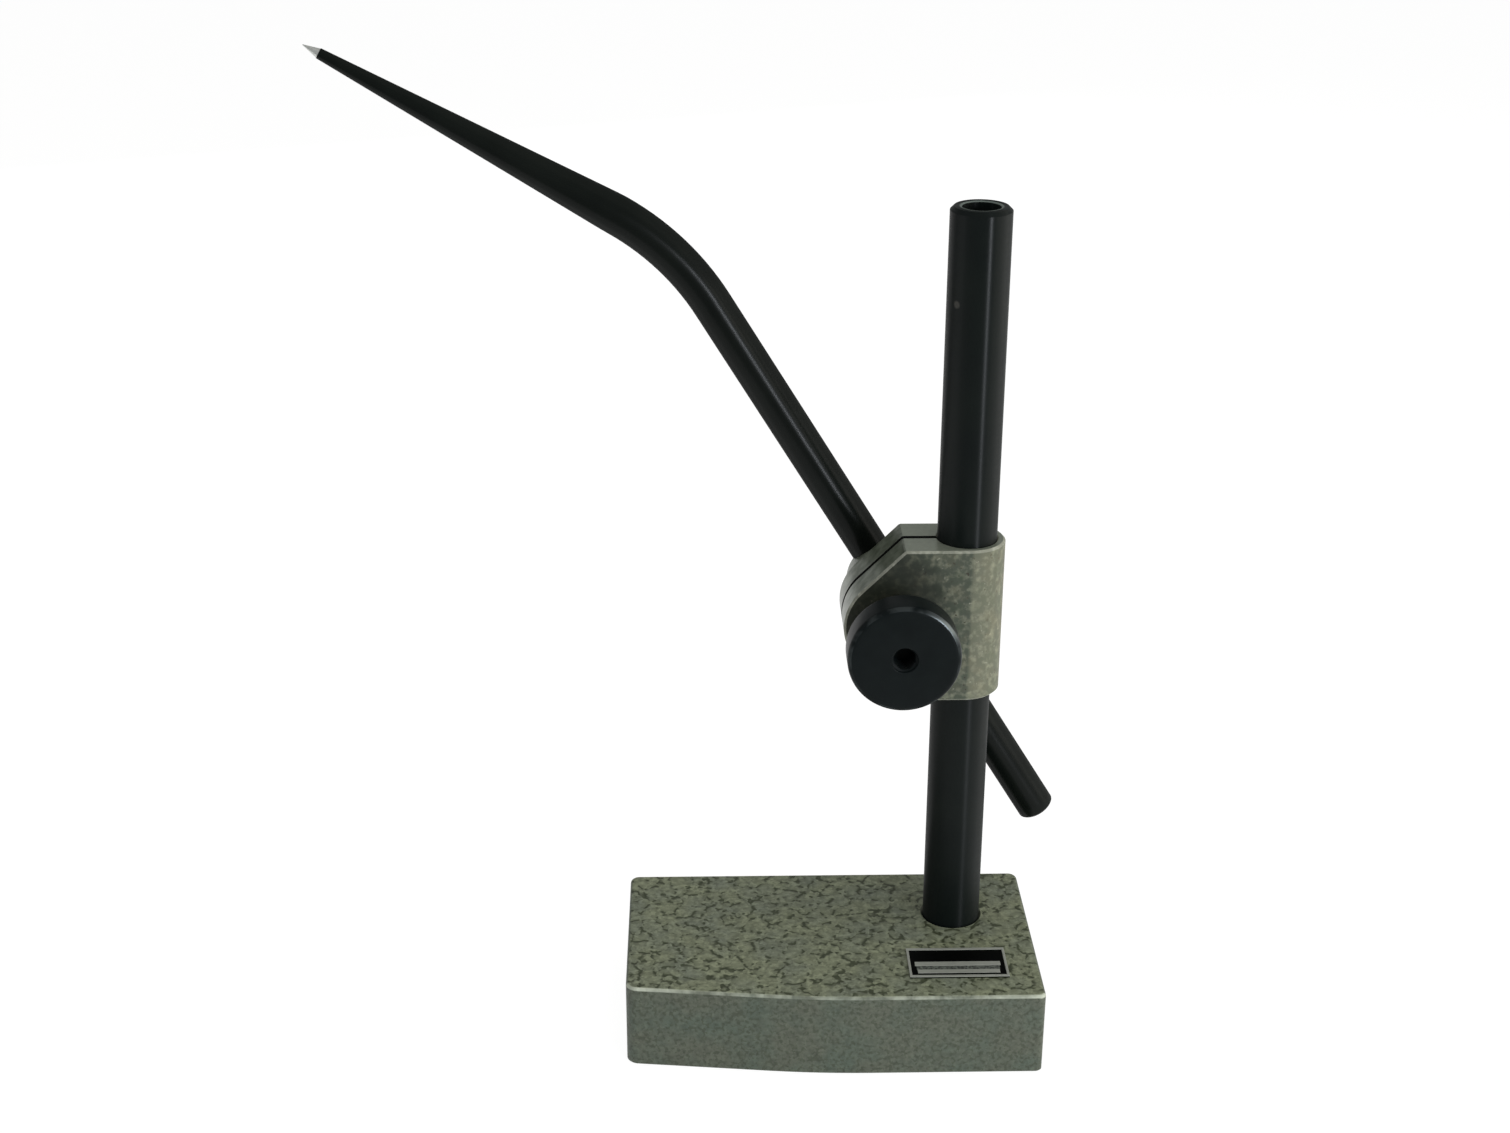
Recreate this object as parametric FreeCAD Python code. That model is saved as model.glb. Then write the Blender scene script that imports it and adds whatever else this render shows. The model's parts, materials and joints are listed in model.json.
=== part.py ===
"""Height gauge: a heavy cast base, an upright tube, and a split clamp that slides and swings
on the tube and carries a long bent arm with a steel point.

Frame: millimetres, +Z up, +X to the right and +Y to the rear of someone facing the name plate.
The origin is the middle of the base's underside.
"""
import os
from math import cos, radians, sin, sqrt, tan

import FreeCAD, Part

Vec = FreeCAD.Vector
X_AXIS = Vec(1, 0, 0)
Y_AXIS = Vec(0, 1, 0)
Z_AXIS = Vec(0, 0, 1)

# fits
running_clearance = 0.05  # radial, between pieces that slide or turn on each other
bolt_clearance = 0.4  # radial, where a bolt only passes through
overcut = 1.0  # how far a cutting shape runs past the face it opens

# cast base
base_length = 135.5
base_depth = 76.6
base_height = 29.4
front_straight = 72.5  # stretch of the front side that runs parallel to the rear side
front_angle = 6.4  # how far the rest of the front side turns back, degrees
front_bend_radius = 300.0
front_left_radius = 4.0
front_right_radius = 2.2
rear_corner_radius = 3.0
base_top_rounding = 1.2
base_foot_bevel = 0.5

# column: thick-walled tube that stands in a socket in the base
column_diameter = 19.05
column_bore = 12.0
column_above_base = 245.5
column_top_chamfer = 1.2
column_bore_break = 0.3
column_from_right = 25.75
column_from_rear = 25.8
socket_depth = 13.0
socket_countersink = 0.7

# screw joint that holds the column down
plug_diameter = 13.0
plug_length = 24.0
bolt_diameter = 8.0
bolt_length = 25.0
bolt_head_diameter = 13.0
bolt_head_height = 8.0
hex_across_flats = 6.0
hex_depth = 4.0
foot_washer_diameter = 16.0
foot_washer_thickness = 1.6
counterbore_depth = 11.0
counterbore_margin = 0.5

# bare name plate on the top of the base
plate_length = 32.5
plate_depth = 17.0
plate_thickness = 0.6
plate_corner_radius = 0.8
plate_from_column = 31.6  # column axis to the plate's middle, towards the front
plate_shift = 1.1  # the plate's middle lies this far left of the column axis

# split clamp
clamp_height = 52.0
clamp_thickness = 24.4
clamp_centre_height = 142.05
clamp_ring_wall = 2.6
clamp_end_radius = 17.3
clamp_corner_radius = 1.4
clamp_edge_bevel = 0.7
clamp_bore_break = 0.4
slit_width = 2.0
screw_offset = 22.1  # column axis to screw axis, towards the left

# eye bolt that pulls the arm and the clamp together
screw_diameter = 8.0
eye_diameter = 21.0
eye_thickness = 10.0
neck_diameter = 10.6
neck_length = 3.0
screw_end_gap = 9.0  # from the knob's face to the end of the screw

# cup seat between the clamp and the arm
seat_diameter = 28.2
seat_wall = 2.2
seat_floor = 4.2
seat_rim_gap = 0.9  # the rim stops this far in front of the arm's axis
seat_edge_break = 0.5

# arm: round rod, bent once, drawn down to a thin end
arm_diameter = 12.75
arm_plane = 28.5  # column axis to arm axis, towards the rear
arm_slope = 58.3  # degrees above the table, rising to the left
arm_tail = 103.6  # screw axis to the tail's end
arm_to_bend = 132.9  # screw axis to the corner where the two centre lines meet
arm_bend = 29.0  # degrees
arm_bend_radius = 85.0
arm_front = 122.4  # corner to the thin end
arm_end_diameter = 3.4
arm_tail_bevel = 1.1

# steel point held in the thin end of the arm
point_length = 5.3
point_diameter = 3.1
point_tip_diameter = 0.2
point_shank_diameter = 1.8
point_shank_length = 9.0

# knob and its washer
knob_diameter = 35.4
knob_thickness = 10.6
knob_face_bevel = 1.8
hub_diameter = 17.0
hub_length = 12.4
knob_mouth_diameter = 9.0
washer_diameter = 19.0
washer_thickness = 1.2

# places worked out from the sizes above
column_x = base_length / 2 - column_from_right
column_y = base_depth / 2 - column_from_rear
column_radius = column_diameter / 2
column_foot = base_height - socket_depth
column_top = base_height + column_above_base
screw_x = column_x - screw_offset
screw_z = clamp_centre_height
clamp_half = clamp_thickness / 2
clamp_front = column_y - clamp_half
clamp_rear = column_y + clamp_half
clamp_bore_radius = column_radius + running_clearance
clamp_ring_radius = clamp_bore_radius + clamp_ring_wall
arm_y = column_y + arm_plane
arm_radius = arm_diameter / 2
hub_face = clamp_front - washer_thickness
knob_back = hub_face - hub_length
knob_face = knob_back - knob_thickness
screw_radius = screw_diameter / 2
screw_hole_radius = screw_radius + running_clearance

arm_centre = Vec(screw_x, arm_y, screw_z)
arm_direction = Vec(-cos(radians(arm_slope)), 0, sin(radians(arm_slope)))
front_slope = radians(arm_slope - arm_bend)
front_direction = Vec(-cos(front_slope), 0, sin(front_slope))
arm_corner = arm_centre + arm_direction * arm_to_bend
arm_end = arm_corner + front_direction * arm_front


def bar(radius, start, axis, length):
    """Round bar from start along axis."""
    return Part.makeCylinder(radius, length, start, axis)


def taper(start_radius, end_radius, start, axis, length):
    """Tapered round bar from start along axis."""
    return Part.makeCone(start_radius, end_radius, length, start, axis)


def rounded_outline(corners):
    """Closed wire through (point, radius) corners, each one an arc tangent to its two sides."""
    arcs = []
    for i, (corner, radius) in enumerate(corners):
        to_last = (corners[i - 1][0] - corner).normalize()
        to_next = (corners[(i + 1) % len(corners)][0] - corner).normalize()
        half_angle = to_last.getAngle(to_next) / 2
        inward = (to_last + to_next).normalize()
        reach = radius / tan(half_angle)
        middle = corner + inward * (radius / sin(half_angle) - radius)
        arcs.append((corner + to_last * reach, middle, corner + to_next * reach))
    edges = []
    for i, (start, middle, end) in enumerate(arcs):
        next_start = arcs[(i + 1) % len(arcs)][0]
        if start != end:
            edges.append(Part.Arc(start, middle, end).toShape())
        edges.append(Part.LineSegment(end, next_start).toShape())
    return Part.Wire(edges)


def prism(wire, along):
    """Solid between a closed flat wire and its copy moved along a vector."""
    return Part.Face(wire).extrude(along)


def turned(profile, centre, axis):
    """Solid of revolution; profile is a list of (distance along the axis, radius) corners."""
    across = axis.cross(X_AXIS if abs(axis.x) < 0.5 else Y_AXIS).normalize()
    points = [centre + axis * along + across * radius for along, radius in profile]
    return Part.Face(Part.makePolygon(points + points[:1])).revolve(centre, axis, 360)


def edges_at(shape, place):
    """Edges whose whole length lies where place(point) is true."""
    return [e for e in shape.Edges if all(place(p) for p in e.discretize(5))]


def near(a, b):
    """True for two places closer than a hair."""
    return abs(a - b) < 0.001


def make_base():
    """Cast block: the left part of its front side turns back, and its edges are rounded."""
    left, right = -base_length / 2, base_length / 2
    front, rear = -base_depth / 2, base_depth / 2
    bend_x = right - front_straight
    left_front = front + (bend_x - left) * tan(radians(front_angle))
    outline = rounded_outline(
        [
            (Vec(right, rear, 0), rear_corner_radius),
            (Vec(left, rear, 0), rear_corner_radius),
            (Vec(left, left_front, 0), front_left_radius),
            (Vec(bend_x, front, 0), front_bend_radius),
            (Vec(right, front, 0), front_right_radius),
        ]
    )
    block = prism(outline, Z_AXIS * base_height)
    block = block.makeFillet(base_top_rounding, edges_at(block, lambda p: near(p.z, base_height)))
    block = block.makeChamfer(base_foot_bevel, edges_at(block, lambda p: near(p.z, 0)))
    socket_radius = column_radius + running_clearance
    counterbore_radius = foot_washer_diameter / 2 + counterbore_margin
    for cutter in (
        bar(socket_radius, Vec(column_x, column_y, column_foot), Z_AXIS, socket_depth + overcut),
        taper(
            socket_radius,
            socket_radius + socket_countersink + overcut,
            Vec(column_x, column_y, base_height - socket_countersink),
            Z_AXIS,
            socket_countersink + overcut,
        ),
        bar(bolt_diameter / 2 + bolt_clearance, Vec(column_x, column_y, 0), Z_AXIS, base_height),
        bar(counterbore_radius, Vec(column_x, column_y, -overcut), Z_AXIS, counterbore_depth + overcut),
    ):
        block = block.cut(cutter)
    return block


def make_name_plate():
    """Thin bare plate that lies on the top of the base in front of the column."""
    middle_x = column_x - plate_shift
    middle_y = column_y - plate_from_column
    signs = ((1, 1), (-1, 1), (-1, -1), (1, -1))
    corners = [
        (Vec(middle_x + sx * plate_length / 2, middle_y + sy * plate_depth / 2, base_height),
         plate_corner_radius)
        for sx, sy in signs
    ]
    return prism(rounded_outline(corners), Z_AXIS * plate_thickness)


def make_column():
    """Tube with a bevelled top, an open bore and a wider seat for the plug at its foot."""
    length = column_top - column_foot
    inner = column_bore / 2
    seat = plug_diameter / 2
    profile = [
        (0, seat),
        (0, column_radius),
        (length - column_top_chamfer, column_radius),
        (length, column_radius - column_top_chamfer),
        (length, inner + column_bore_break),
        (length - column_bore_break, inner),
        (plug_length, inner),
        (plug_length, seat),
    ]
    return turned(profile, Vec(column_x, column_y, column_foot), Z_AXIS)


def make_column_plug():
    """Round plug pressed into the tube's foot, tapped right through for the holding bolt."""
    foot = Vec(column_x, column_y, column_foot)
    plug = bar(plug_diameter / 2, foot, Z_AXIS, plug_length)
    return plug.cut(bar(bolt_diameter / 2 + running_clearance, foot, Z_AXIS, plug_length))


def make_column_bolt():
    """Socket head bolt that reaches up through the base into the plug."""
    head_top = counterbore_depth - foot_washer_thickness
    head_radius = bolt_head_diameter / 2
    profile = [
        (-bolt_head_height, 0),
        (-bolt_head_height, head_radius),
        (0, head_radius),
        (0, bolt_diameter / 2),
        (bolt_length, bolt_diameter / 2),
        (bolt_length, 0),
    ]
    bolt = turned(profile, Vec(column_x, column_y, head_top), Z_AXIS)
    across_corners = hex_across_flats / cos(radians(30))
    corners = [
        Vec(
            column_x + across_corners / 2 * cos(radians(60 * i)),
            column_y + across_corners / 2 * sin(radians(60 * i)),
            head_top - bolt_head_height,
        )
        for i in range(6)
    ]
    return bolt.cut(prism(Part.makePolygon(corners + corners[:1]), Z_AXIS * hex_depth))


def make_column_washer():
    """Flat washer between the bolt's head and the base."""
    foot = Vec(column_x, column_y, counterbore_depth - foot_washer_thickness)
    disc = bar(foot_washer_diameter / 2, foot, Z_AXIS, foot_washer_thickness)
    return disc.cut(bar(bolt_diameter / 2 + bolt_clearance, foot, Z_AXIS, foot_washer_thickness))


def make_clamp_body():
    """Split clamp: a ring round the column, and two ears whose left end is round about the screw."""
    bottom = screw_z - clamp_height / 2
    top = screw_z + clamp_height / 2
    slope_reach = clamp_end_radius * sqrt(2)
    corner_x = screw_x - slope_reach + clamp_height / 2
    outline = rounded_outline(
        [
            (Vec(column_x, clamp_front, bottom), 0),
            (Vec(column_x, clamp_front, top), 0),
            (Vec(corner_x, clamp_front, top), clamp_corner_radius),
            (Vec(screw_x - slope_reach, clamp_front, screw_z), clamp_end_radius),
            (Vec(corner_x, clamp_front, bottom), clamp_corner_radius),
        ]
    )
    ears = prism(outline, Y_AXIS * clamp_thickness)
    on_sides = edges_at(ears, lambda p: near(p.y, clamp_front) or near(p.y, clamp_rear))
    rim = [e for e in on_sides if not near(e.CenterOfMass.x, column_x)]
    ears = ears.makeChamfer(clamp_edge_bevel, rim)
    ring_profile = [
        (0, 0),
        (0, clamp_ring_radius - clamp_edge_bevel),
        (clamp_edge_bevel, clamp_ring_radius),
        (clamp_height - clamp_edge_bevel, clamp_ring_radius),
        (clamp_height, clamp_ring_radius - clamp_edge_bevel),
        (clamp_height, 0),
    ]
    ring = turned(ring_profile, Vec(column_x, column_y, bottom), Z_AXIS)
    slab = Part.makeBox(
        2 * clamp_ring_radius,
        clamp_thickness,
        clamp_height,
        Vec(column_x - clamp_ring_radius, clamp_front, bottom),
    )
    body = ears.fuse(ring.common(slab)).removeSplitter()
    mouth = clamp_bore_radius + clamp_bore_break
    for cutter in (
        bar(clamp_bore_radius, Vec(column_x, column_y, bottom), Z_AXIS, clamp_height),
        taper(mouth, clamp_bore_radius, Vec(column_x, column_y, bottom), Z_AXIS, clamp_bore_break),
        taper(mouth, clamp_bore_radius, Vec(column_x, column_y, top), -Z_AXIS, clamp_bore_break),
        bar(screw_hole_radius, Vec(screw_x, clamp_front, screw_z), Y_AXIS, clamp_thickness),
        Part.makeBox(
            screw_offset + slope_reach,
            slit_width,
            clamp_height,
            Vec(screw_x - slope_reach, column_y - slit_width / 2, bottom),
        ),
    ):
        body = body.cut(cutter)
    return body


def make_arm_seat():
    """Cup with a notched rim: the arm beds in the notches and the eye of the bolt sits inside."""
    outer = seat_diameter / 2
    inner = outer - seat_wall
    depth = arm_plane - clamp_half - seat_rim_gap
    profile = [
        (0, screw_hole_radius),
        (0, outer - seat_edge_break),
        (seat_edge_break, outer),
        (depth - seat_edge_break, outer),
        (depth, outer - seat_edge_break),
        (depth, inner),
        (seat_floor, inner),
        (seat_floor, screw_hole_radius),
    ]
    cup = turned(profile, Vec(screw_x, clamp_rear, screw_z), Y_AXIS)
    notch_start = arm_centre - arm_direction * seat_diameter
    return cup.cut(bar(arm_radius + running_clearance, notch_start, arm_direction, 2 * seat_diameter))


def make_eye_bolt():
    """Screw whose rear end is a thick ring round the arm."""
    outer = eye_diameter / 2
    half = eye_thickness / 2
    start = arm_centre - arm_direction * half
    eye = bar(outer, start, arm_direction, eye_thickness)
    screw_end = knob_face + screw_end_gap
    eye_front = arm_y - outer
    shank = bar(screw_radius, Vec(screw_x, screw_end, screw_z), Y_AXIS, arm_y - screw_end)
    neck = taper(
        screw_radius,
        neck_diameter / 2,
        Vec(screw_x, eye_front - neck_length / 2, screw_z),
        Y_AXIS,
        neck_length,
    )
    hole = bar(arm_radius + running_clearance, start, arm_direction, eye_thickness)
    return eye.fuse([shank, neck]).removeSplitter().cut(hole)


def make_arm():
    """Round rod: straight tail, one bend drawn round an arc, and a front that narrows to its end."""
    tail_end = arm_centre - arm_direction * arm_tail
    bend_reach = arm_bend_radius * tan(radians(arm_bend) / 2)
    bend_start = arm_corner - arm_direction * bend_reach
    bend_end = arm_corner + front_direction * bend_reach
    bend_centre = bend_start + arm_direction.cross(Y_AXIS) * arm_bend_radius
    straight = bar(arm_radius, tail_end, arm_direction, arm_tail + arm_to_bend - bend_reach)
    straight = straight.makeChamfer(
        arm_tail_bevel,
        edges_at(straight, lambda p: near((p - tail_end).dot(arm_direction), 0)),
    )
    section = Part.Face(Part.Wire(Part.makeCircle(arm_radius, bend_start, arm_direction)))
    bend = section.revolve(bend_centre, Y_AXIS, -arm_bend)
    front = taper(
        arm_radius, arm_end_diameter / 2, bend_end, front_direction, arm_front - bend_reach
    )
    rod = straight.fuse([bend, front])
    hole_start = arm_end - front_direction * point_shank_length
    return rod.cut(bar(point_shank_diameter / 2, hole_start, front_direction, 2 * point_shank_length))


def make_arm_point():
    """Steel point with a shank that is pressed into the arm's thin end."""
    profile = [
        (-point_shank_length, 0),
        (-point_shank_length, point_shank_diameter / 2),
        (0, point_shank_diameter / 2),
        (0, point_diameter / 2),
        (point_length, point_tip_diameter / 2),
        (point_length, 0),
    ]
    return turned(profile, arm_end, front_direction)


def make_thrust_washer():
    """Flat washer between the clamp's front ear and the knob's hub."""
    start = Vec(screw_x, clamp_front, screw_z)
    disc = bar(washer_diameter / 2, start, -Y_AXIS, washer_thickness)
    return disc.cut(bar(screw_hole_radius, start, -Y_AXIS, washer_thickness))


def make_knob():
    """Turned knob: a hub, a thick disc with bevelled face, and a tapped hole right through."""
    outer = knob_diameter / 2
    hub = hub_diameter / 2
    length = hub_length + knob_thickness
    profile = [
        (0, screw_hole_radius),
        (0, hub),
        (hub_length, hub),
        (hub_length, outer),
        (length - knob_face_bevel, outer),
        (length, outer - knob_face_bevel),
        (length, knob_mouth_diameter / 2),
        (length - knob_mouth_diameter / 2 + screw_hole_radius, screw_hole_radius),
    ]
    return turned(profile, Vec(screw_x, hub_face, screw_z), -Y_AXIS)


nodes = {
    "base": make_base,
    "name_plate": make_name_plate,
    "column": make_column,
    "column_plug": make_column_plug,
    "column_bolt": make_column_bolt,
    "column_washer": make_column_washer,
    "clamp_body": make_clamp_body,
    "arm_seat": make_arm_seat,
    "eye_bolt": make_eye_bolt,
    "arm": make_arm,
    "arm_point": make_arm_point,
    "thrust_washer": make_thrust_washer,
    "knob": make_knob,
}

os.makedirs("parts", exist_ok=True)
for name, make in nodes.items():
    shape = make()
    shape.exportStep(f"parts/{name}.step")
    print(f"{name}: {len(shape.Solids)} solid, valid {shape.isValid()}, {shape.Volume / 1000:.2f} cm3")
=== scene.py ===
"""Looks of a height gauge: a cast base, an upright tube, a split clamp and a long bent arm.

Metres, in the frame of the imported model: +Z up, and the front side faces -Y.
"""
import json
from math import atan2, cos, pi, radians, sin, tan

import bpy
from mathutils import Matrix, Vector


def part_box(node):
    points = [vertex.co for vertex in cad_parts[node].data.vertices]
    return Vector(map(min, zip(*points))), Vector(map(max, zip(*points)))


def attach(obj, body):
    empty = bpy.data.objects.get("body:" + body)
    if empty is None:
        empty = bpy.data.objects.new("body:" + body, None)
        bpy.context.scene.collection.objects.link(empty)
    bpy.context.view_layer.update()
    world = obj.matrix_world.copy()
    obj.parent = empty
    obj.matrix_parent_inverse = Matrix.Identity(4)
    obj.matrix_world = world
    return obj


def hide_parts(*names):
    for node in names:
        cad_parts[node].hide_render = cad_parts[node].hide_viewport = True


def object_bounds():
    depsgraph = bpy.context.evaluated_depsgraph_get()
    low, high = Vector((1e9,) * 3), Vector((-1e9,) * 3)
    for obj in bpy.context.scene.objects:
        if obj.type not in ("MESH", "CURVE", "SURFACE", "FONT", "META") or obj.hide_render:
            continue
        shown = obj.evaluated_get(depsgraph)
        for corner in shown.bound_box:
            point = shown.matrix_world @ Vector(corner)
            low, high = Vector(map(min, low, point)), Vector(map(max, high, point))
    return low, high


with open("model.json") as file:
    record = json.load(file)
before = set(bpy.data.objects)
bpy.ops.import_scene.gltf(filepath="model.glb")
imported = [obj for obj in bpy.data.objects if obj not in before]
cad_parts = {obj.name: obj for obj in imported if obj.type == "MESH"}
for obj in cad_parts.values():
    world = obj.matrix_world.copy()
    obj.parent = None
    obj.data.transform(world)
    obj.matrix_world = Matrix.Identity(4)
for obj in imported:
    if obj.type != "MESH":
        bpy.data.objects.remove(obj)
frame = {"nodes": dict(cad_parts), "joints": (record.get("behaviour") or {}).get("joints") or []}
cad_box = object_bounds()

# Base: a heavy block of grey cast iron, sprayed with hammertone enamel. The paint draws
# together into flat islands with short dark creases between them, finer on the sides. Along the
# top edge of the front, and most of all near that edge's ends, it is painted pale: the paint is
# rubbed thin there, and a painted highlight lies on the rounded edge.
MM = 0.001
large_island = 6.4 * MM
large_crease = 1.25 * MM
small_island = 3.4 * MM
small_crease = 1.0 * MM
side_island = 3.0 * MM
side_crease = 0.95 * MM
paint_grain = 1.6 * MM
paint_patch = 11 * MM
paint_depth = 0.2 * MM
wear_patch = 5 * MM
pale_ends_begin = 24 * MM
pale_ends_are_full = 4 * MM


def linear(colour):
    """Linear red, green, blue and alpha of an sRGB hex colour."""
    shares = [int(colour[i:i + 2], 16) / 255 for i in (1, 3, 5)]
    return [s / 12.92 if s <= 0.04045 else ((s + 0.055) / 1.055) ** 2.4 for s in shares] + [1]


def new_finish(name):
    """A new material, and its node tree with nothing in it."""
    made = bpy.data.materials.new(name)
    made.use_nodes = True
    made.node_tree.nodes.clear()
    return made, made.node_tree


def add(tree, kind, inputs=None, **settings):
    """Adds a node. Inputs go by name or by place, and take values, hex colours or other nodes."""
    made = tree.nodes.new("ShaderNode" + kind)
    for field, value in settings.items():
        setattr(made, field, value)
    for key, value in (inputs or {}).items():
        sockets = [s for s in made.inputs if s.enabled]
        socket = sockets[key] if isinstance(key, int) else next(s for s in sockets if s.name == key)
        if isinstance(value, bpy.types.Node):
            value = next(s for s in value.outputs if s.enabled)
        if isinstance(value, bpy.types.NodeSocket):
            tree.links.new(value, socket)
        else:
            socket.default_value = linear(value) if isinstance(value, str) else value
    return made


def dress(node, material):
    """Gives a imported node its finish."""
    for material_slot in frame["nodes"][node].material_slots:
        material_slot.material = material


def creases(tree, place, island, width, share):
    """Dark lines between painted islands: island and width in metres, share is how much is left."""
    drift = add(tree, "TexNoise", {"Vector": place, "Scale": 1.3 / island, "Detail": 2.0})
    drift_reach = (0.55 * island,) * 3
    bent = add(
        tree,
        "VectorMath",
        {0: drift.outputs["Color"], 1: drift_reach, 2: place},
        operation="MULTIPLY_ADD",
    )
    edge = add(tree, "TexVoronoi", {"Vector": bent, "Scale": 1 / island}, feature="DISTANCE_TO_EDGE")
    line = add(
        tree,
        "MapRange",
        {"Value": edge, "From Min": 0.0, "From Max": width / island, "To Min": 1.0, "To Max": 0.0},
        interpolation_type="SMOOTHSTEP",
    )
    halo_width = 3 * width
    halo = add(
        tree,
        "MapRange",
        {"Value": edge, "From Min": 0.0, "From Max": halo_width / island, "To Min": 0.4, "To Max": 0.0},
        interpolation_type="SMOOTHSTEP",
    )
    line = add(tree, "Math", {0: line, 1: halo}, operation="MAXIMUM")
    gaps = add(tree, "TexNoise", {"Vector": place, "Scale": 2.6 / island, "Detail": 1.0})
    gap_level = 0.62 - 0.3 * share
    kept = add(
        tree,
        "MapRange",
        {"Value": gaps, "From Min": gap_level, "From Max": gap_level + 0.1},
        interpolation_type="SMOOTHSTEP",
    )
    return add(tree, "Math", {0: line, 1: kept}, operation="MULTIPLY")


# Hammertone enamel is sprayed on and dries with a broken gloss, so the eye sees its pattern and
# no image of the room. The top shows the coarse creases, and the sides the fine ones.
enamel, tree = new_finish("hammertone_enamel")
place = add(tree, "TexCoord").outputs["Object"]
facing = add(tree, "SeparateXYZ", {0: add(tree, "TexCoord").outputs["Normal"]})
is_top = add(
    tree,
    "MapRange",
    {"Value": facing.outputs["Z"], "From Min": 0.75, "From Max": 0.95},
    interpolation_type="SMOOTHSTEP",
)
large_creases = creases(tree, place, large_island, large_crease, 0.55)
small_creases = creases(tree, place, small_island, small_crease, 0.55)
side_creases = creases(tree, place, side_island, side_crease, 0.5)
small_share = add(tree, "Math", {0: small_creases, 1: 0.42}, operation="MULTIPLY")
top_creases = add(tree, "Math", {0: large_creases, 1: small_share}, operation="MAXIMUM")
side_share = add(tree, "Math", {0: side_creases, 1: 0.8}, operation="MULTIPLY")
patches = add(tree, "TexNoise", {"Vector": place, "Scale": 1 / paint_patch, "Detail": 3.0})
patchiness = add(tree, "MapRange", {"Value": patches, "From Min": 0.4, "From Max": 0.7})
# Painted light and shade: the top's ground is painted lighter and more olive, and the sides' darker and
# bluer, as the lamps fall on them.
lit_top_ground = add(tree, "Mix", {"Factor": patchiness, "A": "#828870", "B": "#777e6e"}, data_type="RGBA")
lit_top_colour = add(tree, "Mix", {"Factor": top_creases, "A": lit_top_ground, "B": "#3a402d"}, data_type="RGBA")
shaded_side_ground = add(tree, "Mix", {"Factor": patchiness, "A": "#595e51", "B": "#525d51"}, data_type="RGBA")
shaded_side_colour = add(tree, "Mix", {"Factor": side_share, "A": shaded_side_ground, "B": "#414739"}, data_type="RGBA")
both = add(tree, "Mix", {"Factor": is_top, "A": shaded_side_colour, "B": lit_top_colour}, data_type="RGBA")
grain = add(tree, "TexNoise", {"Vector": place, "Scale": 1 / paint_grain, "Detail": 4.0})
grain_light = add(
    tree, "MapRange", {"Value": grain, "From Min": 0.3, "From Max": 0.7, "To Min": 0.78, "To Max": 1.22}
)
grained = add(tree, "VectorMath", {0: both, "Scale": grain_light}, operation="SCALE")

# The pale band is the rounded edge between the top and the front side: paint rubbed thin, and a painted
# highlight.
above_side = add(tree, "MapRange", {"Value": facing.outputs["Z"], "From Min": 0.1, "From Max": 0.3})
below_top = add(
    tree,
    "MapRange",
    {"Value": facing.outputs["Z"], "From Min": 0.9, "From Max": 0.98, "To Min": 1.0, "To Max": 0.0},
)
front_side = add(tree, "MapRange", {"Value": facing.outputs["Y"], "From Min": -0.05, "From Max": -0.2})
edge_band = add(tree, "Math", {0: above_side, 1: below_top}, operation="MULTIPLY")
pale_edge_band = add(tree, "Math", {0: edge_band, 1: front_side}, operation="MULTIPLY")
wear = add(tree, "TexNoise", {"Vector": place, "Scale": 1 / wear_patch, "Detail": 4.0})
pale_edge_share = add(
    tree, "MapRange", {"Value": wear, "From Min": 0.38, "From Max": 0.62, "To Min": 0.18, "To Max": 0.65}
)
base_low, base_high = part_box("base")
base_middle = (base_low + base_high) / 2
half_base = base_high.x - base_middle.x
along = add(tree, "SeparateXYZ", {0: place}).outputs["X"]
off_middle = add(tree, "Math", {0: along, 1: base_middle.x}, operation="SUBTRACT")
off_middle = add(tree, "Math", {0: off_middle}, operation="ABSOLUTE")
pale_ends = add(
    tree,
    "MapRange",
    {
        "Value": off_middle,
        "From Min": half_base - pale_ends_begin,
        "From Max": half_base - pale_ends_are_full,
        "To Max": 0.4,
    },
)
pale_edge_share = add(tree, "Math", {0: pale_edge_share, 1: pale_ends}, operation="ADD")
wear_and_highlight = add(tree, "Math", {0: pale_edge_band, 1: pale_edge_share}, operation="MULTIPLY")
painted = add(tree, "Mix", {"Factor": wear_and_highlight, "A": grained, "B": "#bcc2b1"}, data_type="RGBA")
relief = add(tree, "Bump", {"Strength": 0.5, "Distance": paint_depth, "Height": top_creases}, invert=True)
shader = add(
    tree,
    "BsdfPrincipled",
    {"Base Color": painted, "Roughness": 0.5, "Specular IOR Level": 0.35, "Normal": relief},
)
add(tree, "OutputMaterial", {"Surface": shader})
dress("base", enamel)

# Name plate: a small stamped aluminium plate, stuck down in front of the column. A bright
# frame, two bright bars and a half rubbed bar between them stand above a black enamelled
# ground, and the whole plate is left bare.
plate_relief = 0.2 * MM
ground_bevel = 0.05 * MM
frame_bevel = 0.1 * MM
bar_bevel = 0.05 * MM
frame_width = Vector((0.8, 1.15, 0)) * MM
plate_dust = 0.8 * MM
brush_mark = 0.25 * MM
rub_patch = 0.7 * MM

# Black enamel fills the sunk ground: the darkest part of the gauge, matt with fine dust.
black_enamel, tree = new_finish("black_plate_enamel")
place = add(tree, "TexCoord").outputs["Object"]
dust = add(tree, "TexNoise", {"Vector": place, "Scale": 1 / plate_dust, "Detail": 4.0})
dust_share = add(tree, "MapRange", {"Value": dust, "From Min": 0.45, "From Max": 0.8})
tone = add(tree, "Mix", {"Factor": dust_share, "A": "#010201", "B": "#060706"}, data_type="RGBA")
shader = add(tree, "BsdfPrincipled", {"Base Color": tone, "Roughness": 0.5, "Specular IOR Level": 0.04})
add(tree, "OutputMaterial", {"Surface": shader})

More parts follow.
